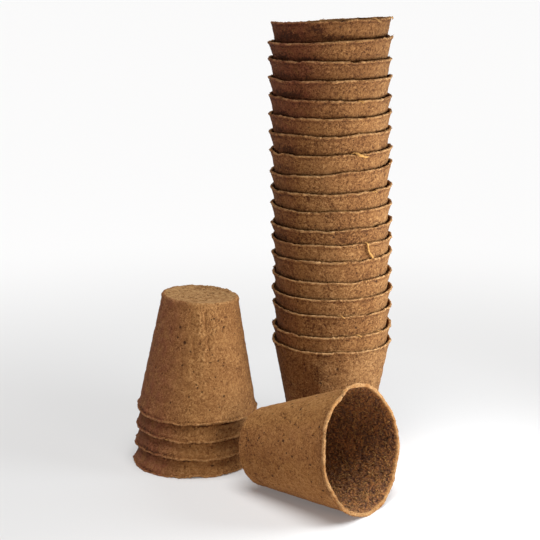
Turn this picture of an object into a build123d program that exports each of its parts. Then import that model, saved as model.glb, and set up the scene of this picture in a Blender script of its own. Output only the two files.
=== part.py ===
from build123d import *
import math
import os

# A set of round moulded-peat pots: one upright nested stack, one short stack
# turned upside down, and one pot lying on its side. Millimetres, +Z up.

# ---- the moulded pot ------------------------------------------------------
POT_HEIGHT = 78.5        # base to top edge of the lip
LIP_RADIUS = 40.0        # outside of the lip, the widest place
WALL_TOP_RADIUS = 39.2   # outside of the plain wall, carried up to the top edge
BASE_RADIUS = 24.7       # outside of the wall at the base
BASE_THICKNESS = 2.2
NOMINAL_WALL = 1.8       # wall of a pot with no other pot nested against it
FLARE_START = 4.0        # below the top edge, where the wall turns out to the lip
LIP_DEPTH = 1.5          # below the top edge, where the lip is widest
FOOT_ROUND = 1.8         # outside edge of the base
FLARE_ROUND = 3.0
LIP_UNDER_ROUND = 1.0
LIP_TOP_ROUND = 0.9
LIP_INNER_ROUND = 0.6
FLOOR_ROUND = 3.0        # inside, between wall and floor
NEST_GAP = 0.32          # least space left between nested walls

# ---- the tall upright stack, bottom to top --------------------------------
STACK_X = 40.2
STACK_Y = 896.0
# step from each rim to the rim of the pot nested in it
STACK_STEPS = [10.7, 14.1, 11.3, 12.0, 12.2, 11.5, 10.5, 11.2, 11.6,
               11.8, 12.2, 12.0, 11.5, 11.7, 12.2, 11.8, 12.4, 12.9]
# sideways set of each pot, because the stack isn't quite straight
STACK_SHIFT = [1.60, 1.60, 1.52, 1.42, 1.28, 1.12, 0.94, 0.72, 0.46, 0.18,
               -0.10, -0.38, -0.62, -0.82, -0.96, -1.04, -1.08, -1.06, -1.00]

# ---- the short upturned stack, bottom to top ------------------------------
UPTURNED_X = -50.1
UPTURNED_Y = 874.3
UPTURNED_STEPS = [12.4, 12.2, 11.8]
UPTURNED_LEAN = 0.4      # degrees more for each pot than for the one below
UPTURNED_SHIFT = 0.25    # sideways set of each pot on the one below
UPTURNED_PIVOT = 33.0    # above its own rim, where a pot's axis crosses the one below

# ---- the loose pot on its side --------------------------------------------
LOOSE_RIM_X = 56.2       # centre of the rim, in plan
LOOSE_RIM_Y = 783.8
LOOSE_HEADING = -37.9    # degrees from +X to the way the mouth faces, in plan

# ---- centre of the whole set in plan, which becomes the origin ------------
SET_CENTRE_X = -4.15
SET_CENTRE_Y = 844.12

TAPER = math.atan2(WALL_TOP_RADIUS - BASE_RADIUS, POT_HEIGHT)


def outer_radius(z):
    """Outside radius of the plain wall at a height above the base."""
    return BASE_RADIUS + z * math.tan(TAPER)


def pot(wall):
    """One pot, upright, with its base on z = 0 and its axis on Z."""
    inset = wall / math.cos(TAPER)
    corners = [
        (0.0, 0.0),
        (BASE_RADIUS, 0.0),
        (outer_radius(POT_HEIGHT - FLARE_START), POT_HEIGHT - FLARE_START),
        (LIP_RADIUS, POT_HEIGHT - LIP_DEPTH),
        (LIP_RADIUS, POT_HEIGHT),
        (outer_radius(POT_HEIGHT) - inset, POT_HEIGHT),
        (outer_radius(BASE_THICKNESS) - inset, BASE_THICKNESS),
        (0.0, BASE_THICKNESS),
    ]
    rounds = {1: FOOT_ROUND, 2: FLARE_ROUND, 3: LIP_UNDER_ROUND,
              4: LIP_TOP_ROUND, 5: LIP_INNER_ROUND, 6: FLOOR_ROUND}
    profile = make_face(Polyline(*corners, close=True))
    for index, radius in rounds.items():
        r, z = corners[index]
        corner = min(profile.vertices(), key=lambda v: (v.X - r) ** 2 + (v.Y - z) ** 2)
        profile = fillet(corner, radius)
    return revolve(Plane.XZ * profile, Axis.Z).solids()[0]


def place(solid, x, y, z, lean=0.0, upside_down=False):
    """Stand a pot at a point, leaning towards +X by an angle, either way up."""
    where = Pos(x - SET_CENTRE_X, y - SET_CENTRE_Y, z) * Rot(0, lean, 0)
    if upside_down:
        where = where * Pos(0, 0, POT_HEIGHT) * Rot(180, 0, 0)
    return where * solid


nodes = {}

# tall stack: each wall is as thick as the step to the next pot leaves room for
base_z = 0.0
for i, shift in enumerate(STACK_SHIFT):
    if i < len(STACK_STEPS):
        sideways = abs(STACK_SHIFT[i + 1] - shift)
        wall = STACK_STEPS[i] * math.sin(TAPER) - NEST_GAP - sideways * math.cos(TAPER)
    else:
        wall = NOMINAL_WALL
    nodes[f"stack_pot_{i + 1:02d}"] = place(pot(wall), STACK_X + shift, STACK_Y, base_z)
    if i < len(STACK_STEPS):
        base_z += STACK_STEPS[i]

# upturned stack: z is the height of each rim, which faces down
rim_x, rim_z, lean = UPTURNED_X, 0.0, 0.0
for i in range(len(UPTURNED_STEPS) + 1):
    step = UPTURNED_STEPS[i - 1] if i > 0 else UPTURNED_STEPS[0]
    turn = math.radians(UPTURNED_LEAN) * (POT_HEIGHT - UPTURNED_PIVOT)
    wall = step * math.sin(TAPER) - NEST_GAP - (UPTURNED_SHIFT + turn) * math.cos(TAPER)
    if i == 0:
        wall = NOMINAL_WALL
    nodes[f"upturned_pot_{i + 1}"] = place(pot(wall), rim_x, UPTURNED_Y, rim_z, lean, True)
    if i < len(UPTURNED_STEPS):
        up = UPTURNED_STEPS[i] + UPTURNED_PIVOT
        cross_x = rim_x + up * math.sin(math.radians(lean)) + UPTURNED_SHIFT
        cross_z = rim_z + up * math.cos(math.radians(lean))
        lean += UPTURNED_LEAN
        rim_x = cross_x - UPTURNED_PIVOT * math.sin(math.radians(lean))
        rim_z = cross_z - UPTURNED_PIVOT * math.cos(math.radians(lean))

# loose pot: it lies on the round of its lip and the round of its foot
foot_r = BASE_RADIUS + FOOT_ROUND * math.tan(TAPER) - FOOT_ROUND / math.cos(TAPER)
flare = math.atan2(LIP_RADIUS - outer_radius(POT_HEIGHT - FLARE_START), FLARE_START - LIP_DEPTH)
lip_r = LIP_RADIUS - LIP_UNDER_ROUND
lip_z = POT_HEIGHT - LIP_DEPTH + LIP_UNDER_ROUND * math.tan(flare / 2)
span_r, span_z = lip_r - foot_r, lip_z - FOOT_ROUND
slope = math.atan2(span_r, span_z) - math.asin((FOOT_ROUND - LIP_UNDER_ROUND) / math.hypot(span_r, span_z))
base_height = foot_r * math.cos(slope) - FOOT_ROUND * math.sin(slope) + FOOT_ROUND
rim_height = base_height + POT_HEIGHT * math.sin(slope)
lying = (
    Pos(LOOSE_RIM_X - SET_CENTRE_X, LOOSE_RIM_Y - SET_CENTRE_Y, rim_height)
    * Rot(0, 0, LOOSE_HEADING)
    * Rot(0, 90 - math.degrees(slope), 0)
    * Pos(0, 0, -POT_HEIGHT)
)
nodes["loose_pot"] = lying * pot(NOMINAL_WALL)

os.makedirs("parts", exist_ok=True)
for name, solid in nodes.items():
    export_step(solid, f"parts/{name}.step")
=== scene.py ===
import math

import bpy
import numpy as np
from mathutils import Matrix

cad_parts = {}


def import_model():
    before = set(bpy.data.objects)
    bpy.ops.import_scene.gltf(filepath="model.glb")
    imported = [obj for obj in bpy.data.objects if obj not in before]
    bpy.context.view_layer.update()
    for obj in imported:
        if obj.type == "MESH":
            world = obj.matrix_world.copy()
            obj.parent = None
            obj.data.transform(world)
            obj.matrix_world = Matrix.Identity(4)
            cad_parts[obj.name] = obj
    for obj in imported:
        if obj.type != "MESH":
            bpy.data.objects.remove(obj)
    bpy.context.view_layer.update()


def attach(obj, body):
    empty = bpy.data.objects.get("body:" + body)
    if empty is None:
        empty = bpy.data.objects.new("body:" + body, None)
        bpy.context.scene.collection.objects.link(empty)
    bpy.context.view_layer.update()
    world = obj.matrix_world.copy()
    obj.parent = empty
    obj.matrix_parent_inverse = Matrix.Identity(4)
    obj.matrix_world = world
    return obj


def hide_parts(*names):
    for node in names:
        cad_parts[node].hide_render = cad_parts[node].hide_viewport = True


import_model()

# Round moulded-peat pots: a tall nested stack, a short upturned stack and a
# loose pot on its side. Lengths below are millimetres until the meshes are made.

# ---------------------------------------------------------------- dimensions
H = 78.5            # base to top edge of the lip
WALL_TOP = 39.2     # outside of the plain wall, carried up to the top edge
BASE_R = 24.7
BASE_T = 2.2
FOOT = 2.0
TAPER = math.atan2(WALL_TOP - BASE_R, H)
NEST_GAP = 0.32

CENTRE = np.array([-4.15, 844.12, 0.0])
STACK = np.array([40.2, 896.0]) - CENTRE[:2]
STACK_STEPS = [10.7, 14.1, 11.3, 12.0, 12.2, 11.5, 10.5, 11.2, 11.6,
               11.8, 12.2, 12.0, 11.5, 11.7, 12.2, 11.8, 12.4, 12.9]
STACK_SHIFT = [1.60, 1.60, 1.52, 1.42, 1.28, 1.12, 0.94, 0.72, 0.46, 0.18,
               -0.10, -0.38, -0.62, -0.82, -0.96, -1.04, -1.08, -1.06, -1.00]
UPTURNED = np.array([-50.1, 874.3]) - CENTRE[:2]
UPTURNED_STEPS = [12.4, 12.2, 11.8]
UPTURNED_LEAN, UPTURNED_SHIFT, UPTURNED_PIVOT = 0.4, 0.25, 33.0
LOOSE_RIM = np.array([56.2, 783.8]) - CENTRE[:2]
LOOSE_HEADING = -37.9
LOOSE_SLOPE, LOOSE_RIM_Z = 11.226513, 39.49066


def cone(z):
    return BASE_R + z * math.tan(TAPER)


def smooth(x, a, b):
    t = np.clip((np.asarray(x, float) - a) / (b - a), 0, 1)
    return t * t * (3 - 2 * t)


# ------------------------------------------------------------------ placing
def turn(axis, degrees):
    a = math.radians(degrees)
    c, s = math.cos(a), math.sin(a)
    m = np.eye(4)
    i, j = {"x": (1, 2), "y": (2, 0), "z": (0, 1)}[axis]
    m[i, i], m[i, j], m[j, i], m[j, j] = c, -s, s, c
    return m


def shift(x, y, z):
    m = np.eye(4)
    m[:3, 3] = x, y, z
    return m


# ------------------------------------------------------------- noise on grids
def band(rng, rows, cols, d_row, d_col, length, width=0.45, stretch=1.0):
    """Unit noise whose features are about `length` mm, `stretch` times longer along the rows' way."""
    fr = np.fft.fftfreq(rows, d_row)[:, None] * stretch
    fc = np.fft.fftfreq(cols, d_col)[None, :]
    f = np.hypot(fr, fc)
    f[0, 0] = 1e-9
    gain = np.exp(-np.log(f * length) ** 2 / (2 * width * width))
    gain[0, 0] = 0
    spec = np.fft.fft2(rng.standard_normal((rows, cols))) * gain
    n = np.fft.ifft2(spec).real
    return n / n.std()


def ring_wave(rng, theta, low, high, power):
    """Unit noise round a ring, from its low to its high number of waves."""
    w = np.zeros_like(theta)
    for n in range(low, high + 1):
        a, b = rng.standard_normal(2)
        w += (a * np.cos(n * theta) + b * np.sin(n * theta)) / n ** power
    return w / w.std()


# ------------------------------------------------------------ the pot's shape
def through(points, step):
    """A smooth line through a few points, as points about one step apart."""
    p = np.array(points, float)
    q = np.vstack([2 * p[0] - p[1], p, 2 * p[-1] - p[-2]])
    out = []
    for i in range(1, len(q) - 2):
        n = max(1, int(round(np.linalg.norm(q[i + 1] - q[i]) / step)))
        t = (np.arange(n) / n)[:, None]
        out.append(0.5 * (2 * q[i] + (q[i + 1] - q[i - 1]) * t + (2 * q[i - 1] - 5 * q[i] + 4 * q[i + 1] - q[i + 2]) * t ** 2
                          + (3 * q[i] - q[i - 1] - 3 * q[i + 1] + q[i + 2]) * t ** 3))
    return np.vstack(out + [p[-1:]])


def profile(wall, fine_out, fine_in, exposed, lip, foot):
    """The pot's section from the foot, up the outside, over the lip and down the inside.
    Returns radius, height, outward normal and the run along it, row by row."""
    inset = wall / math.cos(TAPER)
    flare, reach, thick, depth = lip
    neck = H - depth - 0.9
    bow = lambda z: cone(z) + flare * max(0.0, (z - (neck - 6.5)) / 6.5) ** 2
    pts = []
    # foot: a soft round from the base on to the wall
    c = cone(foot) - foot / math.cos(TAPER)
    for a in np.linspace(-90, -math.degrees(TAPER), 8):
        pts.append((c + foot * math.cos(math.radians(a)), foot + foot * math.sin(math.radians(a))))
    z = pts[-1][1]
    # plain wall, finer where it shows
    while True:
        z += fine_out if z > H - exposed else max(fine_out, 1.35)
        if z > neck - 0.4 * fine_out:
            break
        pts.append((bow(z), z))
    # the pressed lip: a thin rounded bead at the end of the flare
    ro = bow(neck) + reach
    ri = ro - thick
    low = H - depth
    inner = cone(H - 6.4) - inset
    pts += list(map(tuple, through([
        (bow(neck), neck), (bow(neck) + 0.22 * reach, neck + 0.45), (bow(neck) + 0.55 * reach, low - 0.08), (ro - 0.22, low + 0.08),
        (ro - 0.02, low + 0.36), (ro, 0.5 * (low + H) + 0.1), (ro - 0.12, H - 0.26), (ro - 0.40, H - 0.05), (0.5 * ro + 0.5 * ri, H),
        (ri + 0.35, H - 0.10), (ri + 0.05, H - 0.45), (ri - 0.10, H - 1.2), (0.62 * ri + 0.38 * inner, H - 2.9), (inner + 0.12, H - 5.4),
        (inner, H - 6.4)], 0.31)))
    z = pts[-1][1]
    while True:
        z -= fine_in
        if z < BASE_T + 3.6:
            break
        pts.append((cone(z) - inset, z))
    c = cone(BASE_T + 3.2) - inset - 3.2
    for a in np.linspace(-6, -90, 7):
        pts.append((c + 3.2 * math.cos(math.radians(a)), BASE_T + 3.2 + 3.2 * math.sin(math.radians(a))))
    p = np.array(pts)
    d = np.gradient(p, axis=0)
    d /= np.linalg.norm(d, axis=1)[:, None]
    run = np.concatenate([[0], np.cumsum(np.linalg.norm(np.diff(p, axis=0), axis=1))])
    top = int(np.argmax(p[:, 1]))
    return p[:, 0], p[:, 1], d[:, 1], -d[:, 0], run, top


class Shape:
    """Collects vertices, faces, map corners and values, and turns them into one mesh."""

    KINDS = ("pit", "edge", "inside", "fibre", "tone", "relief", "grain", "warm", "red")

    def __init__(self):
        self.co, self.val, self.n = [], {k: [] for k in self.KINDS}, 0
        self.quads, self.quv, self.tris, self.tuv = [], [], [], []

    def add(self, co, **val):
        co = np.asarray(co, float).reshape(-1, 3)
        first = self.n
        self.co.append(co)
        for k in self.KINDS:
            self.val[k].append(np.broadcast_to(np.asarray(val.get(k, 0.0), float).ravel(), (len(co),)))
        self.n += len(co)
        return first

    def mesh(self, name):
        co = np.concatenate(self.co) / 1000.0
        co[:, 2] = np.maximum(co[:, 2], 0.0)                     # pressed flat where it rests
        quads = np.concatenate(self.quads) if self.quads else np.zeros((0, 4), int)
        tris = np.concatenate(self.tris) if self.tris else np.zeros((0, 3), int)
        loops = np.concatenate([quads.ravel(), tris.ravel()]).astype(np.int32)
        uv = np.concatenate([np.concatenate(self.quv).reshape(-1, 2), np.concatenate(self.tuv).reshape(-1, 2)])
        total = np.concatenate([np.full(len(quads), 4), np.full(len(tris), 3)]).astype(np.int32)
        start = np.concatenate([[0], np.cumsum(total)[:-1]]).astype(np.int32)
        me = bpy.data.meshes.new(name)
        me.vertices.add(len(co))
        me.vertices.foreach_set("co", co.astype(np.float32).ravel())
        me.loops.add(len(loops))
        me.loops.foreach_set("vertex_index", loops)
        me.polygons.add(len(total))
        me.polygons.foreach_set("loop_start", start)
        me.polygons.foreach_set("loop_total", total)
        me.update(calc_edges=True)
        layer = me.uv_layers.new(name="OFBake")
        layer.data.foreach_set("uv", uv.astype(np.float32).ravel())
        for k in self.KINDS:
            a = me.attributes.new(k, "FLOAT", "POINT")
            a.data.foreach_set("value", np.concatenate(self.val[k]).astype(np.float32))
        me.polygons.foreach_set("use_smooth", np.ones(len(total), bool))
        me.validate()
        return me


def sample(grid, row, col):
    """Reads a grid of rows and closed rings at fractional places."""
    rows, cols = grid.shape[:2]
    row = np.clip(row, 0, rows - 1.001)
    i, j = np.floor(row).astype(int), np.floor(col).astype(int)
    a, b = (row - i)[..., None], (col - j)[..., None]
    g = grid if grid.ndim == 3 else grid[..., None]
    j0, j1 = j % cols, (j + 1) % cols
    return (g[i, j0] * (1 - a) * (1 - b) + g[i + 1, j0] * a * (1 - b)
            + g[i, j1] * (1 - a) * b + g[i + 1, j1] * a * b)


def unit(v):
    return v / np.maximum(np.linalg.norm(v, axis=-1, keepdims=True), 1e-9)


def add_tubes(shape, path, normal, radius, flat, value, tone, inside, cell):
    """Closed tapered strands along many paths at once: path (S, P, 3), radius (S,)."""
    s, p, _ = path.shape
    tangent = unit(np.gradient(path, axis=1))
    side = unit(np.cross(tangent, normal))
    up = unit(np.cross(side, tangent))
    t = np.linspace(0, 1, p)
    taper = np.clip(np.minimum(t, 1 - t) * 5, 0.25, 1)[None, :, None]
    rad = np.asarray(radius, float)[:, None, None] * taper
    k = 4 if np.ndim(flat) or flat != 1 else 3
    ang = np.arange(k) * 2 * math.pi / k
    flat = np.broadcast_to(np.asarray(flat, float), (s,))[:, None, None]
    ring = [path + rad * (math.cos(a) * side + math.sin(a) * up * flat) for a in ang]
    ring = np.stack(ring, axis=2)[:, 1:-1]                       # S, P-2, k, 3
    m = p - 2
    per = m * k + 2
    co = np.concatenate([path[:, :1], ring.reshape(s, m * k, 3), path[:, -1:]], axis=1)
    val = np.repeat(np.asarray(value, float), per)
    first = shape.add(co, fibre=val, tone=tone, inside=inside, relief=0.6)
    base = first + np.arange(s)[:, None, None] * per
    i, j = np.meshgrid(np.arange(m - 1), np.arange(k), indexing="ij")
    j2 = (j + 1) % k
    q = np.stack([1 + i * k + j, 1 + i * k + j2, 1 + (i + 1) * k + j2, 1 + (i + 1) * k + j], -1)
    q = (base[..., None] + q[None]).reshape(-1, 4)
    a = np.arange(k)
    head = np.stack([np.zeros(k, int), 1 + (a + 1) % k, 1 + a], -1)
    last = 1 + (m - 1) * k
    tail = np.stack([last + a, last + (a + 1) % k, np.full(k, per - 1)], -1)
    tr = (base + np.concatenate([head, tail])[None]).reshape(-1, 3)
    shape.quads.append(q)
    shape.tris.append(tr)
    # each strand has its own small cell of the map
    x0, y0, x1, y1 = cell
    across = max(1, int(math.ceil(math.sqrt(s * (x1 - x0) / (y1 - y0)))))
    down = max(1, int(math.ceil(s / across)))
    w, h = (x1 - x0) / across, (y1 - y0) / down
    ox = x0 + (np.arange(s) % across) * w
    oy = y0 + (np.arange(s) // across) * h
    uq = np.stack([np.stack([(i + 1) / (m + 1), j / k], -1), np.stack([(i + 1) / (m + 1), (j + 1) / k], -1),
                   np.stack([(i + 2) / (m + 1), (j + 1) / k], -1), np.stack([(i + 2) / (m + 1), j / k], -1)], 2)
    uq = uq.reshape(1, -1, 4, 2) * [w * 0.86, h * 0.86] + np.stack([ox + w * 0.07, oy + h * 0.07], -1)[:, None, None, :]
    shape.quv.append(uq.reshape(-1, 4, 2))
    uh = np.stack([np.stack([np.zeros(k), (a + 0.5) / k], -1), np.stack([np.full(k, 1 / (m + 1)), (a + 1) / k], -1),
                   np.stack([np.full(k, 1 / (m + 1)), a / k], -1)], 1)
    ut = np.stack([np.stack([np.full(k, m / (m + 1)), a / k], -1), np.stack([np.full(k, m / (m + 1)), (a + 1) / k], -1),
                   np.stack([np.ones(k), (a + 0.5) / k], -1)], 1)
    u3 = np.concatenate([uh, ut])[None] * [w * 0.86, h * 0.86] + np.stack([ox + w * 0.07, oy + h * 0.07], -1)[:, None, None, :]
    shape.tuv.append(u3.reshape(-1, 3, 2))


def disc(shape, ring_first, cols, radius, place, up, centre_uv, uv_scale, values, spacing):
    """Closes a ring with finer and then coarser rings down to its centre.
    place(r, theta) gives the points; up says whether the disc is seen from above."""
    r, n, prev = radius, cols, np.arange(cols) + ring_first
    prev_r = radius
    rings = []
    while r > spacing * 1.6:
        r -= spacing
        rings.append(r)
    theta = lambda n: np.arange(n) * 2 * math.pi / n
    uvp = lambda r, t: np.stack([centre_uv[0] + uv_scale * r * np.cos(t), centre_uv[1] + uv_scale * r * np.sin(t)], -1)
    for r in rings:
        half = n % 2 == 0 and n > 12 and 2 * math.pi * r / n < 0.33
        m = n // 2 if half else n
        t, tp = theta(m), theta(n)
        first = shape.add(place(r, t), **values(r, t))
        cur = np.arange(m) + first
        j = np.arange(m)
        if half:
            b0, b1, b2 = prev[2 * j], prev[2 * j + 1], prev[(2 * j + 2) % n]
            a0, a1 = cur[j], cur[(j + 1) % m]
            u0, u1, u2 = uvp(prev_r, tp[2 * j]), uvp(prev_r, tp[2 * j + 1]), uvp(prev_r, tp[(2 * j + 2) % n])
            w0, w1 = uvp(r, t[j]), uvp(r, t[(j + 1) % m])
            tri = [(b0, b1, a0, u0, u1, w0), (b1, b2, a1, u1, u2, w1), (b1, a1, a0, u1, w1, w0)]
            for x, y, z, ux, uy, uz in tri:
                if up:
                    shape.tris.append(np.stack([x, y, z], -1)); shape.tuv.append(np.stack([ux, uy, uz], 1))
                else:
                    shape.tris.append(np.stack([x, z, y], -1)); shape.tuv.append(np.stack([ux, uz, uy], 1))
        else:
            k = (j + 1) % m
            q = [prev[j], prev[k], cur[k], cur[j]]
            u = [uvp(prev_r, t[j]), uvp(prev_r, t[k]), uvp(r, t[k]), uvp(r, t[j])]
            if not up:
                q, u = q[::-1], u[::-1]
            shape.quads.append(np.stack(q, -1)); shape.quv.append(np.stack(u, 1))
        prev, n, prev_r = cur, m, r
    c = shape.add(place(0.0, np.zeros(1)), **values(0.0, np.zeros(1)))
    j, t = np.arange(n), theta(n)
    k = (j + 1) % n
    tri = [prev[j], prev[k], np.full(n, c)]
    u = [uvp(prev_r, t[j]), uvp(prev_r, t[k]), uvp(0.0, t)]
    if not up:
        tri, u = tri[::-1], u[::-1]
    shape.tris.append(np.stack(tri, -1)); shape.tuv.append(np.stack(u, 1))


def build_pot(name, seed, matrix, wall, bend=None, cols=384, fine_out=0.6, fine_in=1.5, exposed=17.0,
              lip=(0.8, 0.75, 1.7, 1.45), foot=FOOT, rough_in=0.13, rough_out=1.0, wave=(0.26, 0.16), ragged=1.0, tilt=(0.0, 0.0, 0.0), narrow=0.0, tone=0.0,
              hairs_in=160, coarse=(40, 0.16, 0.32), hairs_out=60, fuzz=60, creases=(), marks=(), notches=3, pits=1.0, base_dish=0.5, base_fine=1.2,
              hidden=0.45, grain=1.0, pale=0.9, flakes=9, warm=0.0, base_tone=0.0, base_warm=0.0, base_rough=1.0, base_mottle=1.0, base_dry=0.0, base_far=0.0, foot_pale=0.0, knobs=(), ridges=(), stains=(), rings=(), blush=(), dips=(), extras=()):
    rng = np.random.default_rng(seed)
    r, z, nr, nz, run, top = profile(wall, fine_out, fine_in, exposed, lip, foot)
    rows = len(r)
    theta = np.arange(cols) * 2 * math.pi / cols
    away = lambda t0: (theta - t0 + math.pi) % (2 * math.pi) - math.pi
    # ---- relief on an even grid, then read at the rows
    d_row = 0.55
    gr = int(run[-1] / d_row) + 8
    d_col = 2 * math.pi * 33.0 / cols
    mk = lambda length, width=0.45, stretch=1.0: band(rng, gr, cols, d_row, d_col, length, width, stretch)
    fine, mid, lump = mk(1.6), mk(3.4), mk(12.0, 0.5)
    felt = -np.abs(mk(2.0, 0.5)) - 0.8 * np.abs(mk(3.6, 0.5)) + 1.3
    at = run / d_row
    i0 = np.clip(np.floor(at).astype(int), 0, gr - 2)
    f = (at - i0)[:, None]
    read = lambda g: g[i0] * (1 - f) + g[i0 + 1] * f
    fine, mid, lump, felt = map(read, (fine, mid, lump, felt))
    outer = np.arange(rows) <= top
    o = outer[:, None]
    show = np.where(outer, hidden + (1 - hidden) * smooth(z, H - exposed - 4, H - exposed), 1.0)[:, None]
    low = H - lip[3]
    lipw = np.where(outer, smooth(z, low - 0.9, low + 0.1), smooth(z, H - 3.0, H - 0.8))[:, None]
    under = np.where(outer, smooth(z, low - 2.2, low - 0.9) * (1 - smooth(z, low - 0.35, low)), 0.0)[:, None]
    footw = np.where(outer, 1 - smooth(z, 0.5, 3.0), 0.0)[:, None]
    D = np.where(o, show * rough_out * (0.040 * fine + 0.050 * mid + 0.085 * lump * show), rough_in * (felt + 0.35 * fine) * (0.12 + 0.88 * smooth(H - z, 1.0, 4.0)[:, None]))
    D = D + lipw * ragged * (0.075 * fine + 0.085 * mid) + footw * 0.07 * (mid + lump)
    relief = np.where(o, 0.5 + 0.13 * fine + 0.12 * mid, 0.5 + 0.22 * felt + 0.10 * fine)
    # painted shade, partly dirt: the groove under the lip's flange is coloured darker
    relief = relief - under * (0.30 + 0.15 * mid)
    # ---- pits left by the coarse peat: scattered ones, and the listed ones
    pit = np.zeros((rows, cols))
    n_pit = 360
    spots = np.stack([rng.uniform(2.0, run[-1] - 2.0, n_pit), rng.uniform(0, 2 * math.pi, n_pit),
                      np.clip(rng.lognormal(-0.58, 0.45, n_pit), 0.28, 1.2), rng.uniform(0.45, 1.0, n_pit)], 1)
    spots[:, 3] *= pits
    own = [(float(np.interp(H - down, z[:top + 1], run[:top + 1])), math.radians(a) % (2 * math.pi), size, 1.15)
           for a, down, size in marks]
    for s, t, q, dark in np.vstack([spots, np.array(own).reshape(-1, 4)]):
        k0, k1 = np.searchsorted(run, (s - 2.6 * q, s + 2.6 * q))
        if k1 <= k0:
            continue
        rr = r[min((k0 + k1) // 2, rows - 1)]
        dt = away(t)
        js = np.where(np.abs(dt) * rr < 2.6 * q)[0]
        if len(js) == 0:
            continue
        d2 = ((run[k0:k1, None] - s) ** 2 + (dt[None, js] * rr * 1.15) ** 2) / (q * q)
        box = np.ix_(np.arange(k0, k1), js)
        pit[box] = np.maximum(pit[box], np.exp(-d2) * dark)
    pit *= np.where(outer, 1.0, 0.7)[:, None] * (1 - 0.75 * lipw)
    D = D - pit * np.where(o, 0.34, 0.25)
    # ---- stains and painted shade, as darker patches: angle, distance below the lip, half width and half height in mm, strength. On the loose pot they are patches in the peat; on the stacks they paint shade in the gaps above the rims, on the shaded left sides, on the upturned pots' right where shadow falls, and over the near lamp's highlight
    stain = np.zeros((rows, cols))
    for a, down, wide, high, deep in stains:
        d2 = (away(math.radians(a))[None] * r[:, None] / wide) ** 2 + ((H - z)[:, None] - down - 0.5 * mid) ** 2 / high ** 2
        stain = np.maximum(stain, np.where(o, deep * np.exp(-d2 * np.clip(1 + 0.4 * lump, 0.5, 2.0)), 0.0))
    # ---- painted shadow lines just under the neighbour's lip: distance below the lip, half height, strength
    for down, high, deep in rings:
        d = ((H - z)[:, None] - down - 0.25 * mid - 0.2 * lump) / high
        stain = np.maximum(stain, np.where(o, deep * np.clip(0.8 + 0.3 * lump, 0.1, 1.3) * np.exp(-d * d), 0.0))
    # the stains and the painted shade darken the colour, also the way pits do
    relief = relief - stain
    pit = np.maximum(pit, 0.8 * stain)
    # ---- darker and redder where the strength is above zero, paler where it is below: painted shade on the shaded side and painted light on the lit side, partly damp and dry peat: middle angle, the spread that is full and the spread to nothing, strength
    red = np.zeros((rows, cols))
    for a, full, none, deep in blush:
        red = red + np.where(o, deep * (1 - smooth(np.degrees(np.abs(away(math.radians(a)))), full, none))[None] * np.clip(1 + 0.12 * mid + 0.15 * lump, 0.4, 1.5), 0.0)
    # ---- shallow creases down the wall, coloured darker in the grooves as painted shade and lighter on outward folds as painted light: angle, the two ends below the lip, width, depth
    for a, d0, d1, width, depth in creases:
        line = math.radians(a) + 0.012 * np.sin(z / 3.1 + a) + 0.008 * np.sin(z / 1.3 + 2 * a)
        dt = (theta[None] - line[:, None] + math.pi) % (2 * math.pi) - math.pi
        ends = np.where(outer, smooth(H - z, d0, d0 + 5) * (1 - smooth(H - z, d1 - 6, d1)), 0.0)[:, None]
        fold = ends * np.exp(-(dt * r[:, None] / width) ** 2) * np.clip(1 + 0.45 * mid, 0, 2)
        D = D - depth * fold
        relief = relief - 0.55 * depth * fold
    # ---- soft folds standing out of the wall: angle, the two ends below the lip, half width, height
    for a, d0, d1, wide, out in ridges:
        line = math.radians(a) + 0.006 * np.sin(z / 4.0 + a)
        dt = (theta[None] - line[:, None] + math.pi) % (2 * math.pi) - math.pi
        ends = np.where(outer, smooth(H - z, d0, d0 + 8) * (1 - smooth(H - z, d1 - 8, d1)), 0.0)[:, None]
        D = D + out * ends * np.clip(1 - np.abs(dt * r[:, None]) / wide, 0, 1) ** 2
    # ---- small swellings: angle, height, half width and half height, how far out
    for a, up, wide, high, out in knobs:
        D = D + np.where(o, out * np.exp(-(away(math.radians(a))[None] * r[:, None] / wide) ** 2 - ((z - up)[:, None] / high) ** 2), 0.0)
    # ---- the lip: uneven height, reach and thickness, with nicks
    wz, wr = wave
    zw = wz * ring_wave(rng, theta, 2, 16, 0.7) + 0.07 * ragged * ring_wave(rng, theta, 18, 70, 0.3)
    rw = wr * ring_wave(rng, theta, 2, 14, 0.7)
    for _ in range(4):
        zw += rng.normal(0, 0.34) * np.exp(-(away(rng.uniform(0, 2 * math.pi)) * 39.5 / rng.uniform(3.0, 8.0)) ** 2)
    for a, wide, deep in dips:
        zw -= deep * np.exp(-(away(math.radians(a)) * 39.5 / wide) ** 2)
    tw = 0.15 * ragged * ring_wave(rng, theta, 8, 60, 0.35)
    tk = 0.15 * ragged * ring_wave(rng, theta, 6, 50, 0.4)
    worn = np.clip(0.62 + 0.42 * ring_wave(rng, theta, 3, 45, 0.45), 0.08, 1.0)
    reach = np.where(outer, smooth(z, H - 11, H - 2), smooth(z, H - 9, H - 1.5))[:, None]
    tip = smooth(z, H - 1.8, H - 0.3)[:, None]
    cut = np.zeros(cols)
    for _ in range(notches):
        t0, w0, d0 = rng.uniform(0, 2 * math.pi), rng.uniform(1.0, 3.2), rng.uniform(0.25, 0.7)
        cut += d0 * np.exp(-(away(t0) * 39.5 / w0) ** 4)
    for _ in range(2 * notches):
        t0, w0, d0 = rng.uniform(0, 2 * math.pi), rng.uniform(1.0, 3.5), rng.uniform(0.3, 0.75)
        tw -= d0 * np.exp(-(away(t0) * 39.5 / w0) ** 4)
    R = r[:, None] + D * nr[:, None] + reach * rw[None] + np.where(o, 1, -0.6) * lipw * tw[None]
    Z = z[:, None] + D * nz[:, None] + reach * zw[None] - tip * cut[None] - lipw * np.where(o, 1 - tip, 0) * tk[None]
    oval = 0.16 * np.cos(2 * theta + 0.7) + 0.08 * np.cos(3 * theta + 2.1)
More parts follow.
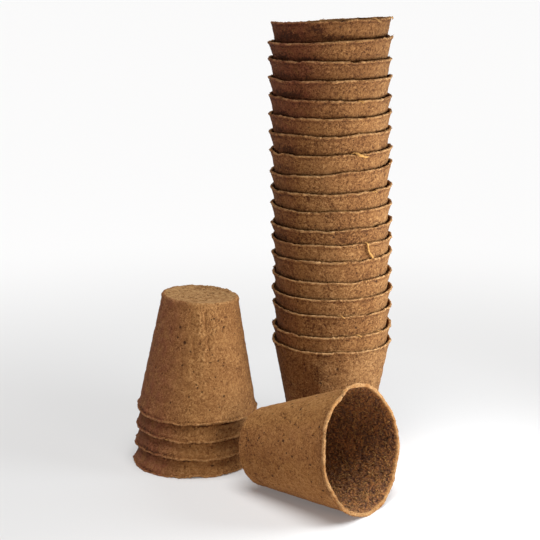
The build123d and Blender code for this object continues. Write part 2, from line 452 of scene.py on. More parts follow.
    R = R + oval[None] * smooth(z, 6, 60)[:, None] - narrow * smooth(z, H - 26, H - 8)[:, None]
    X, Y = R * np.cos(theta), R * np.sin(theta)
    lean = smooth(z, H - 16, H - 1)[:, None]
    Z = Z + lean * (tilt[0] * X + tilt[1] * Y - tilt[2])
    edge = np.where(o, smooth(z, low - 0.05, low + 0.4)[:, None], smooth(z, H - 1.5, H - 0.5)[:, None])
    edge = np.clip(edge * (pale * worn[None] + 0.16 * mid + 0.14 * fine), 0, 1)
    edge = np.maximum(edge, np.where(o, foot_pale * (1 - smooth(z, 0.5, 1.7))[:, None] * np.clip(0.7 + 0.4 * mid, 0, 1), 0.0))
    inside = np.where(o, 0.0, smooth(-z, -(H - 0.7), -(H - 2.0))[:, None]) * np.ones((1, cols))

    def world(p):
        p = p @ matrix[:3, :3].T + matrix[:3, 3]
        return bend(p) if bend else p

    G = world(np.stack([X, Y, Z], -1).reshape(-1, 3)).reshape(rows, cols, 3)
    shape = Shape()
    first = shape.add(G, pit=pit, edge=edge, inside=inside, tone=tone, relief=relief, grain=grain, warm=warm, red=red)
    i, j = np.meshgrid(np.arange(rows - 1), np.arange(cols), indexing="ij")
    i, j = i.ravel(), j.ravel()
    j2 = (j + 1) % cols
    shape.quads.append(first + np.stack([i * cols + j, i * cols + j2, (i + 1) * cols + j2, (i + 1) * cols + j], -1))
    # map: the outside strip, the inside strip, two discs and the strands
    v = np.where(np.arange(rows) <= top, run / run[top] * 0.385,
                 0.392 + (run - run[top]) / (run[-1] - run[top]) * 0.383)
    v_low = np.where(np.arange(rows) == top, 0.392, v)
    u0, u1 = 0.002 + 0.996 * j / cols, 0.002 + 0.996 * (j + 1) / cols
    va = np.where(i >= top, v_low[i], v[i])
    vb = v[i + 1]
    shape.quv.append(np.stack([np.stack([u0, va], -1), np.stack([u1, va], -1), np.stack([u1, vb], -1), np.stack([u0, vb], -1)], 1))

    # ---- base and floor
    step = 0.5
    pad = 64
    grid_a = band(rng, 2 * pad, 2 * pad, step, step, 1.9) * 0.5 + band(rng, 2 * pad, 2 * pad, step, step, 6.0) * 0.6
    grid_b = -np.abs(band(rng, 2 * pad, 2 * pad, step, step, 2.6, 0.5)) - np.abs(band(rng, 2 * pad, 2 * pad, step, step, 5.0, 0.5)) + 1.3
    dots = rng.uniform(-BASE_R, BASE_R, (46, 2))
    dot_r = np.clip(rng.lognormal(-0.62, 0.35, 46), 0.3, 1.1)

    def flat_read(g, x, y):
        a = np.clip(x / step + pad, 0, 2 * pad - 1.01)
        b = np.clip(y / step + pad, 0, 2 * pad - 1.01)
        ia, ib = np.floor(a).astype(int), np.floor(b).astype(int)
        fa, fb = a - ia, b - ib
        return (g[ia, ib] * (1 - fa) * (1 - fb) + g[ia + 1, ib] * fa * (1 - fb)
                + g[ia, ib + 1] * (1 - fa) * fb + g[ia + 1, ib + 1] * fa * fb)

    def spot(x, y):
        d2 = ((x[:, None] - dots[:, 0]) ** 2 + (y[:, None] - dots[:, 1]) ** 2) / dot_r ** 2
        return np.exp(-d2).max(1)

    ring_r = r[0]

    def beneath(rr, t):
        x, y = rr * np.cos(t), rr * np.sin(t)
        w = smooth(ring_r - rr, 0.0, 2.0)
        zz = base_dish * smooth(ring_r - rr, 0.5, 9.0) + w * (0.07 * rough_out * base_rough * flat_read(grid_a, x, y) + 0.3 * spot(x, y))
        return world(np.stack([x, y, np.maximum(zz, 0.0)], -1))

    def beneath_values(rr, t):
        x, y = rr * np.cos(t), rr * np.sin(t)
        k = smooth(ring_r - rr, -0.1, 1.0)
        mottle = flat_read(grid_a, x, y)
        # the base's tone and paleness are partly painted light on an upward face, and its far side is darker as painted
        # shade
        return dict(pit=spot(x, y), tone=tone + (base_tone - base_far * smooth(-y, 4, 22)) * k, grain=grain * base_rough * base_mottle, warm=warm + (base_warm - warm) * k,
                    red=-base_dry * k * np.clip(0.8 + 0.45 * mottle, 0, 1.25),
                    edge=np.clip(foot_pale * (1 - smooth(ring_r - rr, 0.2, 1.6)) + 0 * t, 0, 1), relief=0.5 + 0.16 * base_rough * base_mottle * mottle)

    floor_r = r[-1]

    def floor(rr, t):
        x, y = rr * np.cos(t), rr * np.sin(t)
        w = smooth(floor_r - rr, 0.0, 1.5)
        return world(np.stack([x, y, BASE_T + w * rough_in * flat_read(grid_b, x, y)], -1))

    def floor_values(rr, t):
        x, y = rr * np.cos(t), rr * np.sin(t)
        return dict(inside=1.0, pit=0.5 * spot(x, y), tone=tone, grain=grain, warm=warm, relief=0.5 + 0.2 * flat_read(grid_b, x, y))

    disc(shape, first, cols, ring_r, beneath, False, (0.112, 0.889), 0.108 / BASE_R, beneath_values, base_fine)
    disc(shape, first + (rows - 1) * cols, cols, floor_r, floor, True, (0.338, 0.889), 0.108 / BASE_R, floor_values, max(1.2, fine_in))

    # ---- loose fibres lying on the surface, and short ones standing off the lip
    N = np.cross(np.roll(G, -1, 1) - np.roll(G, 1, 1), np.gradient(G, axis=0))
    N = unit(N)

    def lie(count, low, high, length, radius, lift, value, insidev, cell, flat=1, ends=0.0, p=8, curl=0.16):
        if count == 0:
            return
        s0, t0 = rng.uniform(low, high, count), rng.uniform(0, 2 * math.pi, count)
        ln = rng.uniform(*length, count)
        psi = rng.uniform(0, 2 * math.pi, count)
        kap = rng.normal(0, curl, count)
        t = np.linspace(-0.5, 0.5, p)[None]
        ang = psi[:, None] + kap[:, None] * ln[:, None] * t
        ds, dc = np.cos(ang) * ln[:, None] / (p - 1), np.sin(ang) * ln[:, None] / (p - 1)
        ss = np.clip(s0[:, None] + np.cumsum(ds, 1), low, high)
        rr = np.interp(ss, run, r)
        cc = (t0[:, None] + np.cumsum(dc / rr, 1)) / (2 * math.pi) * cols
        row = np.interp(ss, run, np.arange(rows))
        P, M = sample(G, row, cc), unit(sample(N, row, cc))
        up = rng.uniform(*lift, count)[:, None, None] + ends * rng.uniform(0, 1, count)[:, None, None] * (np.abs(t) * 2)[..., None] ** 4
        shade = rng.uniform(*value, count)
        if insidev:
            shade = np.where(shade < np.mean(value), shade * 0.5 + 0.02, shade)
        add_tubes(shape, P + M * up, M, rng.uniform(*radius, count), flat, shade, tone, insidev, cell)

    lo_out = max(2.0, run[top] - exposed - 2) if hidden < 0.9 else 2.0
    lie(hairs_out, lo_out, run[top] - 4.0, (2, 7), (0.05, 0.09), (0.0, 0.04), (0.25, 0.75), 0.0, (0.47, 0.785, 0.62, 0.995))
    lie(hairs_in, run[top] + 3.0, run[-1] - 1.0, (2.5, 7.0), (0.08, 0.17), (0.02, 0.20), (0.05, 0.6), 1.0, (0.625, 0.785, 0.82, 0.89), ends=0.3)
    lie(coarse[0], run[top] + 2.4, run[-1] - 1.0, (2.0, 5.6), coarse[1:], (0.0, 0.38), (0.04, 0.72), 1.0, (0.625, 0.895, 0.82, 0.995), ends=0.3, p=6, curl=0.12)

    if fuzz:
        row0 = rng.uniform(top - 7, top + 4, fuzz)
        col0 = rng.uniform(0, cols, fuzz)
        P0, M0 = sample(G, row0, col0)[:, None], unit(sample(N, row0, col0))[:, None]
        tang = unit(sample(np.roll(G, -1, 1) - G, row0, col0))[:, None]
        d = unit(M0 * rng.uniform(0.2, 1.0, (fuzz, 1, 1)) + tang * rng.normal(0, 1.0, (fuzz, 1, 1)) + rng.normal(0, 0.25, (fuzz, 1, 3)))
        ln = np.clip(rng.lognormal(-0.25, 0.45, (fuzz, 1, 1)), 0.4, 2.0)
        t = np.linspace(0, 1, 6)[None, :, None]
        path = P0 - M0 * 0.1 + ln * (t * d + 0.5 * t * t * rng.normal(0, 0.45, (fuzz, 1, 3)))
        add_tubes(shape, path, np.broadcast_to(M0, path.shape), rng.uniform(0.045, 0.09, fuzz), 1, rng.uniform(0.4, 0.9, fuzz), tone, 0.0,
                  (0.825, 0.875, 0.93, 0.995))

    if flakes:
        row0 = rng.uniform(top - 6, top + 1, flakes)
        col0 = rng.uniform(0, cols, flakes)
        t = np.linspace(-0.5, 0.5, 8)[None]
        ln = rng.uniform(1.6, 4.6, (flakes, 1)) / 39.5 / (2 * math.pi) * cols
        row = np.clip(row0[:, None] + rng.normal(0, 3.0, (flakes, 1)) * t, top - 9, top + 3)
        col = col0[:, None] + ln * t
        P, M = sample(G, row, col), unit(sample(N, row, col))
        up = rng.uniform(0.05, 0.2, (flakes, 1)) + rng.uniform(0.2, 0.9, (flakes, 1)) * np.clip(t * rng.choice([-2, 2], (flakes, 1)), 0, 1) ** 1.6
        add_tubes(shape, P + M * up[..., None], M, rng.uniform(0.14, 0.34, flakes), rng.uniform(0.3, 0.6, flakes), rng.uniform(0.3, 0.85, flakes),
                  tone, 0.0, (0.825, 0.785, 0.93, 0.87))

    for k, (pts, width, thin, value) in enumerate(extras):
        # a torn flake or strand: points are (angle, run past the lip's top, height off the surface)
        a = np.array(pts, float)
        t = np.linspace(0, len(a) - 1, 14)
        ang, off, hgt = (np.interp(t, np.arange(len(a)), a[:, c]) for c in range(3))
        for _ in range(2):
            ang[1:-1] = (ang[:-2] + 2 * ang[1:-1] + ang[2:]) / 4
            off[1:-1] = (off[:-2] + 2 * off[1:-1] + off[2:]) / 4
            hgt[1:-1] = (hgt[:-2] + 2 * hgt[1:-1] + hgt[2:]) / 4
        row = np.interp(run[top] - off, run, np.arange(rows))
        col = np.radians(ang) / (2 * math.pi) * cols
        P, M = sample(G, row, col)[None], unit(sample(N, row, col))[None]
        path = P + M * hgt[None, :, None]
        add_tubes(shape, path, M, np.array([width / 2]), np.array([thin]), np.array([value]), tone, 0.0,
                  (0.935 + 0.02 * (k % 3), 0.785, 0.95 + 0.02 * (k % 3), 0.99))

    me = shape.mesh(name)
    ob = bpy.data.objects.new(name, me)
    bpy.context.scene.collection.objects.link(ob)
    return ob


# ----------------------------------------------------------------- material
def peat_material():
    mat = bpy.data.materials.new("moulded_peat_fibre")
    mat.use_nodes = True
    nt = mat.node_tree
    nt.nodes.clear()
    link = nt.links.new

    def node(kind, **inputs):
        n = nt.nodes.new(kind)
        for k, v in inputs.items():
            n.inputs[k.replace("_", " ")].default_value = v
        return n

    def attr(name):
        n = nt.nodes.new("ShaderNodeAttribute")
        n.attribute_name = name
        return n.outputs["Fac"]

    def put(socket, v):
        if hasattr(v, "is_output") or isinstance(v, bpy.types.NodeSocket):
            link(v, socket)
        else:
            socket.default_value = v

    def maths(op, a, b=0.0, c=0.0, clamp=False):
        n = nt.nodes.new("ShaderNodeMath")
        n.operation, n.use_clamp = op, clamp
        for s, v in zip(n.inputs, (a, b, c)):
            put(s, v)
        return n.outputs[0]

    def mix(fac, a, b, how="MIX"):
        n = nt.nodes.new("ShaderNodeMix")
        n.data_type, n.blend_type = "RGBA", how
        put(n.inputs[0], fac)
        put(n.inputs[6], a)
        put(n.inputs[7], b)
        return n.outputs[2]

    def span(v, a, b, c=0.0, d=1.0):
        n = nt.nodes.new("ShaderNodeMapRange")
        n.interpolation_type = "SMOOTHSTEP"
        put(n.inputs[0], v)
        for s, x in zip(n.inputs[1:5], (a, b, c, d)):
            s.default_value = x
        return n.outputs[0]

    place = nt.nodes.new("ShaderNodeTexCoord").outputs["Object"]

    def noise(scale, detail=3.0, rough=0.55, distort=0.0):
        n = node("ShaderNodeTexNoise", Scale=scale, Detail=detail, Roughness=rough, Distortion=distort)
        link(place, n.inputs["Vector"])
        return n.outputs["Fac"]

    def voronoi(scale):
        n = node("ShaderNodeTexVoronoi", Scale=scale)
        link(place, n.inputs["Vector"])
        return n.outputs["Distance"], n.outputs["Color"]

    pit, edge, inside, fibre, tone, relief, strength, warm, red = map(attr, ("pit", "edge", "inside", "fibre", "tone", "relief", "grain", "warm", "red"))
    cloud, patch, grain, grit = noise(38, 2.0), noise(150, 3.0, 0.6, 0.6), noise(620, 3.0, 0.62, 1.2), noise(1500, 2.0, 0.6)

    # brown of the peat: broad clouds, patches, fibrous grain and fine grit
    f = maths("MULTIPLY_ADD", cloud, 0.26, -0.13)
    f = maths("MULTIPLY_ADD", maths("SUBTRACT", patch, 0.5), 0.38, f)
    coarse = span(noise(85, 2.0, 0.6), 0.38, 0.62, 0.75, 1.15)
    g = maths("MULTIPLY_ADD", maths("SUBTRACT", grit, 0.5), 1.0, maths("MULTIPLY", maths("SUBTRACT", grain, 0.5), 1.5))
    f = maths("MULTIPLY_ADD", g, coarse, f)
    f = maths("MULTIPLY", f, strength)
    f = maths("MULTIPLY_ADD", maths("SUBTRACT", relief, 0.5), 0.55, f)
    f = maths("ADD", f, tone)
    f = maths("ADD", f, 0.5, clamp=True)
    ramp = nt.nodes.new("ShaderNodeValToRGB")
    link(f, ramp.inputs[0])
    el = ramp.color_ramp.elements
    el[0].position, el[0].color = 0.0, (0.070, 0.0215, 0.0055, 1)
    el[1].position, el[1].color = 1.0, (0.410, 0.200, 0.0720, 1)
    for p, c in ((0.25, (0.150, 0.0535, 0.0145, 1)), (0.5, (0.238, 0.0965, 0.0285, 1)), (0.75, (0.315, 0.140, 0.0450, 1))):
        e = el.new(p)
        e.color = c
    colour = ramp.outputs[0]

    colour = mix(span(warm, 0.0, 1.0), colour, mix(1.0, colour, (1.0, 0.91, 0.78, 1), "MULTIPLY"))
    colour = mix(span(maths("MULTIPLY", warm, -1.0), 0.0, 1.0), colour, mix(1.0, colour, (1.0, 1.12, 1.30, 1), "MULTIPLY"))

    # the lip's worn, fuzzy edge is paler
    pale = mix(span(grain, 0.25, 0.75), (0.26, 0.112, 0.036, 1), (0.52, 0.270, 0.105, 1))
    colour = mix(maths("MULTIPLY", edge, span(patch, 0.15, 0.6, 0.55, 0.95)), colour, pale)

    # darker and redder where red is above zero, paler where it is below: painted shade on the shaded side and painted
    # light on the lit side, partly damp and dry peat
    colour = mix(maths("MULTIPLY", red, maths("MULTIPLY_ADD", edge, -0.6, 1.0), clamp=True), colour, mix(1.0, colour, (0.70, 0.52, 0.68, 1), "MULTIPLY"))
    colour = mix(maths("MULTIPLY", red, -1.0, clamp=True), colour, mix(1.0, colour, (1.12, 1.20, 1.32, 1), "MULTIPLY"))

    # small dark crumbs all over, and the pits
    def crumbs(scale, share, radius):
        d, c = voronoi(scale)
        sep = nt.nodes.new("ShaderNodeSeparateColor")
        link(c, sep.inputs[0])
        size = maths("MULTIPLY_ADD", span(sep.outputs[0], 1 - share, 1.0), radius, 0.001)
        return maths("SUBTRACT", 1.0, span(maths("DIVIDE", d, size), 0.6, 1.15))

    crumb = maths("MAXIMUM", crumbs(210, 0.45, 0.16), maths("MULTIPLY", crumbs(430, 0.4, 0.17), 0.7))
    crumb = maths("MULTIPLY", crumb, maths("SUBTRACT", 1.0, maths("MULTIPLY", edge, 0.7)))
    dark = (0.040, 0.0135, 0.0050, 1)
    colour = mix(maths("MULTIPLY", crumb, 0.75), colour, dark)
    colour = mix(span(pit, 0.18, 0.75, 0.0, 0.92), colour, dark)

    # the inside is coarser and darker, with painted shade making its hollows nearly black
    felt = mix(span(relief, 0.2, 0.85), (0.050, 0.0210, 0.0205, 1), (0.335, 0.116, 0.0290, 1))
    felt = mix(span(grain, 0.50, 0.66, 0.0, 0.75), felt, (0.37, 0.148, 0.035, 1))
    felt = mix(span(noise(430, 2.0, 0.6, 1.5), 0.39, 0.50, 0.8, 0.0), felt, (0.028, 0.0128, 0.0145, 1))
    colour = mix(maths("MULTIPLY", inside, 0.80), colour, felt)

    # strands
    strand = mix(fibre, (0.078, 0.032, 0.0220, 1), (0.50, 0.236, 0.064, 1))
    colour = mix(span(fibre, 0.02, 0.06), colour, strand)

    shader = nt.nodes.new("ShaderNodeBsdfPrincipled")
    shader.inputs["Specular IOR Level"].default_value = 0.18
    link(colour, shader.inputs["Base Color"])
    link(span(grain, 0.2, 0.8, 0.86, 0.99), shader.inputs["Roughness"])
    height = maths("MULTIPLY_ADD", grain, 0.8, maths("MULTIPLY", grit, 0.35))
    height = maths("MULTIPLY_ADD", patch, 0.5, height)
    height = maths("MULTIPLY_ADD", crumb, -0.6, height)
    bump = node("ShaderNodeBump", Strength=0.75, Distance=0.00045)
    link(height, bump.inputs["Height"])
    link(bump.outputs[0], shader.inputs["Normal"])
    out = nt.nodes.new("ShaderNodeOutputMaterial")
    link(shader.outputs[0], out.inputs[0])
    return mat


PEAT = peat_material()


def finish_piece(ob, node):
    ob.data.materials.append(PEAT)
    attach(ob, node)
    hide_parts(node)


# ------------------------------------------------------------- the tall stack
# small uneven sets of each rim, bottom to top: slope to the right, slope to the back, drop in mm
RIM_SET = [(0.0, 0.002, 0.0), (0.016, -0.004, 0.4), (-0.005, 0.003, -0.1), (0.006, -0.003, 0.3), (0.012, 0.004, 0.7),
           (0.027, 0.0, -0.5), (0.011, -0.004, 0.35), (0.029, 0.003, 0.85), (0.012, 0.0, 0.0), (0.027, 0.004, -0.15),
           (0.080, -0.004, -0.6), (0.030, 0.003, -0.6), (0.029, 0.0, -0.85), (0.020, 0.003, -0.5), (-0.010, -0.003, 0.15),
           (0.014, 0.002, 0.0), (0.003, 0.0, 0.0), (0.050, -0.004, 0.4), (0.040, -0.030, 1.3)]
EXTRAS = {
    11: [([(-74, -0.3, 0.5), (-70, 0.4, 1.2), (-65, 1.2, 1.6), (-59, 2.0, 1.5), (-54, 2.6, 0.7)], 2.0, 0.32, 1.0)],
    6: [([(-61, 0.2, 0.3), (-58.5, 0.3, 1.0), (-56.5, 1.8, 1.4), (-56.8, 4.2, 1.3), (-55, 6.8, 1.5), (-51.5, 9.2, 1.9), (-48.5, 11.4, 2.1), (-46, 13.2, 2.4)], 1.6, 0.6, 1.0)],
    18: [([(-8, 0.9, 0.1), (-4, 1.0, 0.5), (0, 1.1, 1.1), (4, 1.6, 1.7)], 1.8, 0.35, 0.9),
         ([(-52, -0.2, 0.2), (-48, 0.4, 0.7), (-43, 1.6, 0.9), (-40, 2.5, 0.8), (-37, 2.9, 0.3)], 1.3, 0.4, 0.55)],
    14: [([(-66, 0.2, 0.1), (-63, 1.0, 0.5), (-60, 2.2, 0.9)], 0.8, 0.5, 0.95)],
    9: [([(-52, 0.4, 0.1), (-48, 1.0, 0.5), (-45, 2.4, 0.6)], 0.9, 0.5, 0.8)],
    2: [([(-88, -0.3, 0.2), (-85, 0.2, 0.9), (-82, 0.9, 0.8), (-80, 1.6, 0.3)], 1.0, 0.5, 0.8)],
    1: [([(-70, 0.0, 0.2), (-67, 0.6, 0.9), (-64, 1.2, 0.7), (-62, 1.8, 0.2)], 1.0, 0.5, 0.85),
        ([(-44, 0.0, 0.2), (-41, 0.5, 0.9), (-38, 1.0, 0.3)], 0.9, 0.5, 0.8)],
}
# painted shade on the upper pots, in the gap just above the rim below and on the shaded left side: angle, distance
# below the lip, half width and height, strength
STACK_GAP_SHADE = {18: [(-108, 3.4, 5.0, 0.7, 0.7), (-106, 5.2, 6.0, 0.7, 0.8), (-102, 6.8, 4.0, 0.7, 0.65), (-140, 10.2, 15.0, 2.6, 0.6), (-95, 10.0, 12.0, 1.3, 0.5)],
          17: [(-112, 10.6, 10.0, 1.3, 0.7), (-146, 10.2, 11.0, 2.0, 0.55)], 15: [(-138, 9.3, 14.0, 2.8, 0.7)], 14: [(-147, 10.2, 11.0, 2.2, 0.55)],
          16: [(-145, 9.8, 12.0, 1.8, 0.5)], 13: [(-150, 9.0, 9.0, 2.2, 0.5)], 12: [(-140, 9.4, 12.0, 2.4, 0.55)], 11: [(-148, 9.6, 9.0, 1.8, 0.4)],
          7: [(-146, 8.0, 10.0, 2.0, 0.5)]}
# the larger pits of the pot at the foot: angle, distance below the lip, size
STACK_MARKS = [(-107, 13.5, 0.75), (-121, 10.3, 0.6), (-84, 6.4, 0.6), (-96, 19.5, 0.55), (-103, 19.8, 0.5), (-110, 10.0, 0.5),
               (-88, 15.8, 0.5), (-67, 21.9, 0.45)]
rng = np.random.default_rng(20)
z = 0.0
for i, dx in enumerate(STACK_SHIFT):
    node = f"stack_pot_{i + 1:02d}"
    if i < len(STACK_STEPS):
        wall = STACK_STEPS[i] * math.sin(TAPER) - NEST_GAP - abs(STACK_SHIFT[i + 1] - dx) * math.cos(TAPER)
    else:
        wall = 1.8
    # tone: a random shift per pot, and darker towards the top of the stack as painted shade where the light falls off
    # with height
    kw = dict(lip=(0.35 + 0.3 * rng.random(), 0.7 + 0.25 * rng.random(), 1.5 + 0.3 * rng.random(), 1.1 + 0.3 * rng.random()),
              tone=rng.normal(0, 0.03) - 0.04 * smooth(i, 3, 8) - 0.12 * max(0.0, (i - 13) / 5) ** 1.3, tilt=RIM_SET[i], extras=EXTRAS.get(i, ()), ragged=0.65, fuzz=40,
              grain=1.4 - 0.35 * smooth(i, 9, 17))
    upper_weight = float(smooth(i, 10.5, 15))
    # blush: darker and redder on the shaded left, paler at the front and on the lit right, as painted shade and painted
    # light, stronger on the upper pots; the extra stain paints shade over the near lamp's highlight at the front right
    kw.update(blush=[(-175, 30 + 16 * upper_weight, 70 + 24 * upper_weight, 0.38 + 0.57 * upper_weight), (-107, 8, 28, -0.45 * (1 - upper_weight)), (-20, 10, 38, -0.35 - 0.6 * upper_weight)],
              stains=STACK_GAP_SHADE.get(i, []) + [(-60 + 4 * math.sin(2.3 * i), 6.0, 8.0, 10.0, 0.16 - 0.05 * upper_weight + 0.03 * math.sin(1.7 * i))])
    if i == 0:
        # the bottom pot: paler at the front and much paler on the lit right up to a fairly crisp edge, as painted light
        kw.update(exposed=90, hidden=1.0, hairs_out=110, marks=STACK_MARKS, grain=1.4, tone=0.015, stains=(), ridges=[(-105, 4, 70, 15.0, 1.0)],
                  blush=[(-100, 4, 13, -0.45), (-32, 26, 52, -0.9)])
    if i == len(STACK_SHIFT) - 1:
        kw.update(fine_in=0.9, rough_in=0.30, hairs_in=300, coarse=(900, 0.22, 0.40), pale=0.6, fuzz=14, flakes=3, notches=1, ragged=0.4, wave=(0.12, 0.12), dips=[(120, 28.0, 1.5), (62, 16.0, 0.5)],
                  lip=(0.2, 0.55, 1.4, 1.1), narrow=0.8)
    ob = build_pot("peat_" + node, 100 + i, shift(STACK[0] + dx, STACK[1], z), wall, **kw)
    finish_piece(ob, node)
    if i < len(STACK_STEPS):
        z += STACK_STEPS[i]

# --------------------------------------------------------- the upturned stack
# the whole short stack leans a little, more towards its top
UP_MID = UPTURNED[0]


def upturned_bend(p):
    q = p.copy()
    h = np.clip(p[:, 2], 0, None)
    a = math.radians(2.2) * h / 115.0
    q[:, 0] = p[:, 0] - 1.9 + 2.45 * (1 - np.exp(-h / 13.0)) + 0.0145 * h
    q[:, 2] = p[:, 2] - (p[:, 0] - UP_MID) * a - 0.9 * smooth(h, 60, 112)
    return q


UPTURNED_CREASES = [(75.5, 44, 60, 0.7, 0.55), (79.5, 58, 77, 0.8, 0.50), (87, 54, 77, 2.2, -0.55), (94, 42, 60, 0.8, 0.40), (98.5, 60, 77, 0.9, 0.35),
                    (82, 34, 54, 1.6, -0.40), (68, 48, 70, 1.4, -0.25), (106, 28, 58, 2.2, 0.30), (62, 30, 52, 1.2, 0.20)]
UPTURNED_MARKS = [(59, 17.7, 0.85), (116, 55.4, 0.75), (67, 68.7, 0.75), (88, 24.1, 0.7), (116, 12.9, 0.7), (83, 21.5, 0.65),
                  (65, 11.1, 0.6), (75, 9.8, 0.6), (93, 34.2, 0.55), (68, 30.5, 0.6), (98, 47.4, 0.5), (71, 45.3, 0.6),
                  (106, 38.1, 0.55), (86, 52.6, 0.5), (70, 62.0, 0.5), (66, 60.0, 0.5), (72, 58.5, 0.5), (64, 64.0, 0.45)]
# painted shade in the crease where the wall turns out to the lip, on the shaded left side: angle, half width
UPTURNED_TURN_SHADE = [(140, 8.0), (138, 23.0), (145, 20.0), (153, 15.0)]
rim_x, rim_z, lean = UPTURNED[0], 0.0, 0.0
for i in range(4):
    node = f"upturned_pot_{i + 1}"
    step = UPTURNED_STEPS[max(i - 1, 0)]
    wall = step * math.sin(TAPER) - NEST_GAP - (UPTURNED_SHIFT + math.radians(UPTURNED_LEAN) * (H - UPTURNED_PIVOT)) * math.cos(TAPER)
    # painted shade: darker on the right where the tall stack and the loose pot cast shadow, in the crease above the lip
    # on the left, and darker and redder on the left side; the rings paint a shadow line under each neighbour's lip
    kw = dict(lip=(0.6, 0.9, 1.8, 1.35), tone=0.17 + rng.normal(0, 0.025), grain=1.1, pale=0.75, ragged=0.8, wave=(0.40, 0.28), fuzz=40, warm=0.3, stains=[(8, 40 if i == 3 else 6, 17.0, 60.0, 0.34), (UPTURNED_TURN_SHADE[i][0], 2.4, UPTURNED_TURN_SHADE[i][1], 0.6, 0.7)],
              blush=[(168, 34, 80, 0.9)], rings=[(UPTURNED_STEPS[min(i, 2)] - 1.3, 0.6, 0.75)])
    if i == 0:
        wall = 1.8
        kw.update(fine_in=0.9, rough_in=0.30, hairs_in=200, coarse=(600, 0.22, 0.40))
    if i == 3:
        # the top of the upturned stack: its upward base is paler, partly as painted light on the upward face, darker on
        # its far side as painted shade, and its left side darker and redder as painted shade
        kw.update(exposed=90, hidden=1.0, hairs_out=110, creases=UPTURNED_CREASES, marks=UPTURNED_MARKS, base_fine=0.7, foot=1.1, base_tone=0.19, base_warm=0.0, base_rough=1.1, base_mottle=1.5, base_dry=0.75, base_far=0.16, tone=0.115, blush=[(170, 34, 80, 0.7)], rings=(), foot_pale=0.45, knobs=[(4, 1.6, 3.5, 1.6, 0.9), (172, 1.0, 4.0, 1.4, 0.5)], pits=1.2, cols=416)
    m = shift(rim_x, UPTURNED[1], rim_z) @ turn("y", lean) @ shift(0, 0, H) @ turn("x", 180)
    ob = build_pot("peat_" + node, 200 + i, m, wall, bend=upturned_bend, **kw)
    finish_piece(ob, node)
    if i < 3:
        up = UPTURNED_STEPS[i] + UPTURNED_PIVOT
        cx = rim_x + up * math.sin(math.radians(lean)) + UPTURNED_SHIFT
        cz = rim_z + up * math.cos(math.radians(lean))
        lean += UPTURNED_LEAN
        rim_x = cx - UPTURNED_PIVOT * math.sin(math.radians(lean))
        rim_z = cz - UPTURNED_PIVOT * math.cos(math.radians(lean))

# -------------------------------------------------------------- the loose pot
m = shift(LOOSE_RIM[0], LOOSE_RIM[1], LOOSE_RIM_Z) @ turn("z", LOOSE_HEADING) @ turn("y", 90 - LOOSE_SLOPE) @ shift(0, 0, -H)
LOOSE_MARKS = [(-107, 70.6, 0.8), (-118, 71.3, 0.6), (-124, 55.0, 0.6), (-139, 27.9, 0.55), (-82, 31.7, 0.5), (-116, 31.0, 0.5),
               (-85, 41.1, 0.5), (-114, 60.0, 0.5), (-100, 50.0, 0.45), (-130, 45.0, 0.45), (-96, 66.0, 0.4), (-103, 62.5, 0.35),
               (-111, 66.5, 0.4), (-128, 64.0, 0.4), (-134, 68.0, 0.35), (-121, 59.5, 0.35), (-92, 58.0, 0.35), (-137, 58.5, 0.35),
               (-108, 55.5, 0.35), (-116, 50.5, 0.35), (-101, 72.0, 0.4), (-131, 73.0, 0.4)]
# the base end is a little darker
LOOSE_STAINS = [(-112, 64.0, 14.0, 11.0, 0.30), (-135, 40.0, 8.0, 16.0, 0.18), (-95, 70.0, 10.0, 6.0, 0.26), (-104, 44.0, 7.0, 9.0, 0.18),
                (-122, 52.0, 5.0, 9.0, 0.24), (-88, 56.0, 6.0, 8.0, 0.20), (-128, 24.0, 9.0, 6.0, 0.14)]
# blush: paler on the top and on the lower front as painted light, and slightly redder across the front
ob = build_pot("peat_loose_pot", 300, m, 1.8, cols=448, exposed=90, hidden=1.0, fine_in=0.62, rough_in=0.58, rough_out=0.8,
               lip=(0.7, 0.65, 2.4, 1.8), ragged=0.5, wave=(0.40, 0.34), pale=1.35, hairs_in=700, coarse=(2300, 0.20, 0.40), hairs_out=110, fuzz=50, flakes=4, grain=1.35, warm=1.0, tone=0.24, pits=1.1, marks=LOOSE_MARKS, stains=LOOSE_STAINS,
               blush=[(-112, 35, 60, 0.22), (-165, 12, 42, -0.5), (-55, 15, 45, -0.6)])
finish_piece(ob, "loose_pot")

# ------------------------------------------------------------------ the stage
me = bpy.data.meshes.new("floor")
s = 30.0
me.from_pydata([(-s, -s, 0), (s, -s, 0), (s, s, 0), (-s, s, 0)], [], [(0, 1, 2, 3)])
floor = bpy.data.objects.new("floor", me)
bpy.context.scene.collection.objects.link(floor)
mat = bpy.data.materials.new("pale_floor")
mat.use_nodes = True
b = mat.node_tree.nodes["Principled BSDF"]
b.inputs["Base Color"].default_value = (0.62, 0.545, 0.495, 1)
b.inputs["Roughness"].default_value = 0.9
b.inputs["Specular IOR Level"].default_value = 0.1
tree = mat.node_tree
far = tree.nodes.new("ShaderNodeVectorMath")
far.operation = "LENGTH"
tree.links.new(tree.nodes.new("ShaderNodeTexCoord").outputs["Object"], far.inputs[0])
rise = tree.nodes.new("ShaderNodeMapRange")
rise.interpolation_type = "SMOOTHSTEP"
for k, v in zip(("From Min", "From Max", "To Min", "To Max"), (0.12, 0.75, 0.14, 0.40)):
    rise.inputs[k].default_value = v
tree.links.new(far.outputs["Value"], rise.inputs["Value"])
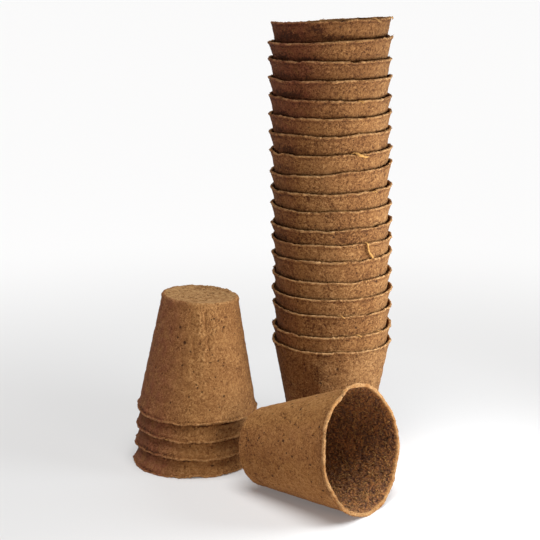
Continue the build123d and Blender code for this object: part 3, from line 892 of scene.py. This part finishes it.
tree.links.new(rise.outputs["Result"], b.inputs["Emission Strength"])
b.inputs["Emission Color"].default_value = (1, 1, 1, 1)
me.materials.append(mat)

world = bpy.data.worlds.new("studio")
bpy.context.scene.world = world
world.use_nodes = True
bg = world.node_tree.nodes["Background"]
bg.inputs[0].default_value = (1.0, 0.95, 0.90, 1)
bg.inputs[1].default_value = 0.03

from mathutils import Vector


def lamp(name, kind, energy, place, aim=(0.0, 0.0, 0.0)):
    data = bpy.data.lights.new(name, kind)
    data.energy = energy
    ob = bpy.data.objects.new(name, data)
    ob.location = place
    ob.visible_camera = False
    ob.rotation_mode = "QUATERNION"
    ob.rotation_quaternion = (Vector(place) - Vector(aim)).to_track_quat("Z", "Y")
    bpy.context.scene.collection.objects.link(ob)
    return data


# a soft lamp close by on the right and a broad one overhead
key = lamp("key", "SPOT", 4.85, (0.27, -0.065, 0.16), (0.02, 0.01, 0.15))
key.spot_size, key.spot_blend, key.shadow_soft_size = math.radians(160), 1.0, 0.09
key.color = (0.84, 1.0, 1.14)
top = lamp("top", "SUN", 3.3, (-0.17 * 0.208, -0.985 * 0.208, 0.978))
top.angle = math.radians(42)
top.color = (0.88, 1.0, 1.10)
# a faint one low in front
fill = lamp("fill", "SPOT", 1.36, (0.20, -0.36, 0.10), (0.0, -0.03, 0.05))
fill.spot_size, fill.spot_blend, fill.shadow_soft_size = math.radians(130), 1.0, 0.07
fill.color = (1.0, 0.95, 0.90)

# ----------------------------------------------------------------- the camera
cam = bpy.data.cameras.new("camera")
cam.sensor_width = 36.0
cam.lens = 36.0 * 1372.0 / 540.0
cam.clip_start, cam.clip_end = 0.05, 60.0
eye = bpy.data.objects.new("camera", cam)
eye.location = (-CENTRE[0] / 1000, -CENTRE[1] / 1000, 0.3398)
eye.rotation_euler = (math.radians(90 - 13.489), 0, 0)
bpy.context.scene.collection.objects.link(eye)
bpy.context.scene.camera = eye

view = bpy.context.scene.view_settings
view.view_transform = "Standard"
view.look = "None"
view.exposure = 0.0
view.gamma = 1.0
